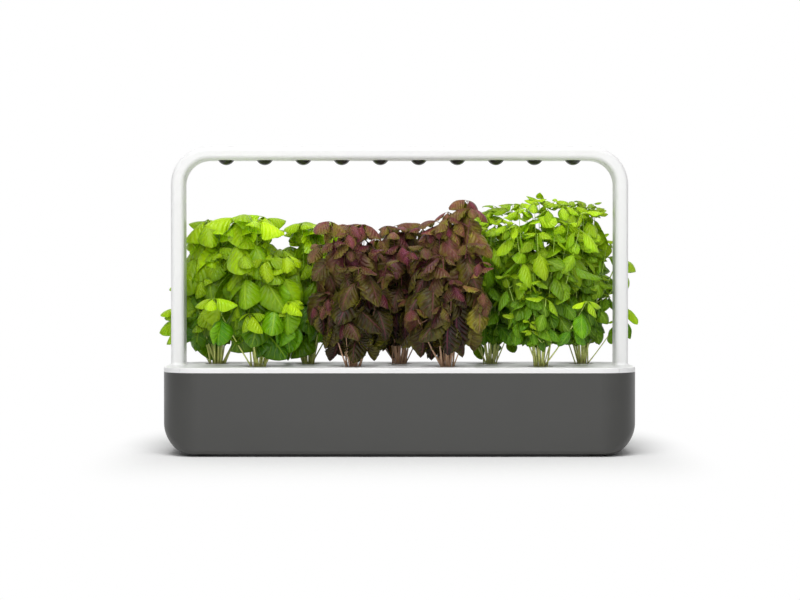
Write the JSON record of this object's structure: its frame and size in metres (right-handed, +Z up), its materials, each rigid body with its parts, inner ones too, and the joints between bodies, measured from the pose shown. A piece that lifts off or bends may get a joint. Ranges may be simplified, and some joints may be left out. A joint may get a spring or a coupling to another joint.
{
  "type": "countertop hydroponic garden",
  "caption": "Long water tub with a lid of lift-out plant pods, basil growing in them, under a plug-in lamp arch with a row of domed lenses.",
  "frame": {"origin": "on the table under the middle of the tub, at the underside of the rubber feet", "axes": "+X along the garden to the viewer's right, +Y to the back, +Z up; the front is at -Y"},
  "size_m": [0.65, 0.185, 0.4],
  "materials": {
    "tub_grey": "fine matte moulded ABS, warm dark grey",
    "white_plastic": "white ABS with a soft sheen",
    "cup_white": "white polypropylene, satin",
    "underside_black": "black textured plastic",
    "foot_rubber": "soft black rubber",
    "screw_steel": "zinc plated steel",
    "inlet_black": "black moulded plastic",
    "lead_black": "black flexible insulation",
    "button_white": "white plastic, polished",
    "board_green": "solder mask on glass fibre board",
    "board_aluminium": "white coated aluminium board",
    "led_yellow": "phosphor over a light chip",
    "lens_smoke": "dark smoked lens, polished",
    "float_white": "white plastic rod",
    "float_foam": "closed cell foam",
    "soil": "peat and fibre growing medium",
    "leaf_sweet": "living leaf, semi gloss, bright green",
    "leaf_purple": "living leaf, satin, dark maroon",
    "leaf_lemon": "living leaf, satin, yellow green"
  },
  "bodies": {
    "base": {"tub": "tub_grey", "base_plate": "underside_black", "rubber_feet": "foot_rubber", "plate_screws": "screw_steel", "end_deck_left": "white_plastic", "end_deck_right": "white_plastic", "power_board": "board_green", "board_screws": "screw_steel", "dc_jack": "inlet_black", "button_switch": "inlet_black", "base_contact_block": "inlet_black", "base_lead": "lead_black"},
    "button": {"power_button": "button_white"},
    "lid": {"lid": "white_plastic", "float_guide": "white_plastic"},
    "float": {"float_stem": "float_white", "float_foam": "float_foam"},
    "arm_left": {"arm_left": "white_plastic"},
    "arm_right": {"arm_right": "white_plastic", "arm_contact_blocks": "inlet_black", "arm_lead": "lead_black"},
    "lamp": {"lamp_shell": "white_plastic", "lamp_cover": "white_plastic", "led_board": "board_aluminium", "led_chips": "led_yellow", "led_lenses": "lens_smoke", "lamp_lead": "lead_black", "lamp_contact_block": "inlet_black"},
    "pod_1": {"cup_1": "cup_white", "soil_plug_1": "soil", "plant_1": "leaf_sweet"},
    "pod_2": {"cup_2": "cup_white", "soil_plug_2": "soil", "plant_2": "leaf_sweet"},
    "pod_3": {"cup_3": "cup_white", "soil_plug_3": "soil", "plant_3": "leaf_sweet"},
    "pod_4": {"cup_4": "cup_white", "soil_plug_4": "soil", "plant_4": "leaf_purple"},
    "pod_5": {"cup_5": "cup_white", "soil_plug_5": "soil", "plant_5": "leaf_purple"},
    "pod_6": {"cup_6": "cup_white", "soil_plug_6": "soil", "plant_6": "leaf_purple"},
    "pod_7": {"cup_7": "cup_white", "soil_plug_7": "soil", "plant_7": "leaf_lemon"},
    "pod_8": {"cup_8": "cup_white", "soil_plug_8": "soil", "plant_8": "leaf_lemon"},
    "pod_9": {"cup_9": "cup_white", "soil_plug_9": "soil", "plant_9": "leaf_lemon"}
  },
  "joints": [
    {"name": "lid_lift", "type": "slide", "parent": "base", "child": "lid", "axis": [0, 0, 1], "range_m": [0, 0.015]},
    {"name": "float_rise", "type": "slide", "parent": "lid", "child": "float", "axis": [0, 0, 1], "range_m": [0, 0.024]},
    {"name": "arm_left_lift", "type": "slide", "parent": "base", "child": "arm_left", "axis": [0, 0, 1], "range_m": [0, 0.024]},
    {"name": "arm_right_lift", "type": "slide", "parent": "base", "child": "arm_right", "axis": [0, 0, 1], "range_m": [0, 0.024]},
    {"name": "lamp_lift", "type": "slide", "parent": "arm_left", "child": "lamp", "axis": [0, 0, 1], "range_m": [0, 0.024]},
    {"name": "power_button_press", "type": "slide", "parent": "base", "child": "button", "axis": [-1, 0, 0], "range_m": [0, 0.0012], "stiffness_N_per_m": 400, "springref_m": -0.0008},
    {"name": "pod_1_lift", "type": "slide", "parent": "lid", "child": "pod_1", "axis": [0, 0, 1], "range_m": [0, 0.018]},
    {"name": "pod_2_lift", "type": "slide", "parent": "lid", "child": "pod_2", "axis": [0, 0, 1], "range_m": [0, 0.018]},
    {"name": "pod_3_lift", "type": "slide", "parent": "lid", "child": "pod_3", "axis": [0, 0, 1], "range_m": [0, 0.018]},
    {"name": "pod_4_lift", "type": "slide", "parent": "lid", "child": "pod_4", "axis": [0, 0, 1], "range_m": [0, 0.018]},
    {"name": "pod_5_lift", "type": "slide", "parent": "lid", "child": "pod_5", "axis": [0, 0, 1], "range_m": [0, 0.018]},
    {"name": "pod_6_lift", "type": "slide", "parent": "lid", "child": "pod_6", "axis": [0, 0, 1], "range_m": [0, 0.018]},
    {"name": "pod_7_lift", "type": "slide", "parent": "lid", "child": "pod_7", "axis": [0, 0, 1], "range_m": [0, 0.018]},
    {"name": "pod_8_lift", "type": "slide", "parent": "lid", "child": "pod_8", "axis": [0, 0, 1], "range_m": [0, 0.018]},
    {"name": "pod_9_lift", "type": "slide", "parent": "lid", "child": "pod_9", "axis": [0, 0, 1], "range_m": [0, 0.018]}
  ],
  "couplings": [
    {"joint": "arm_right_lift", "follows": "arm_left_lift", "ratio": 1}
  ]
}
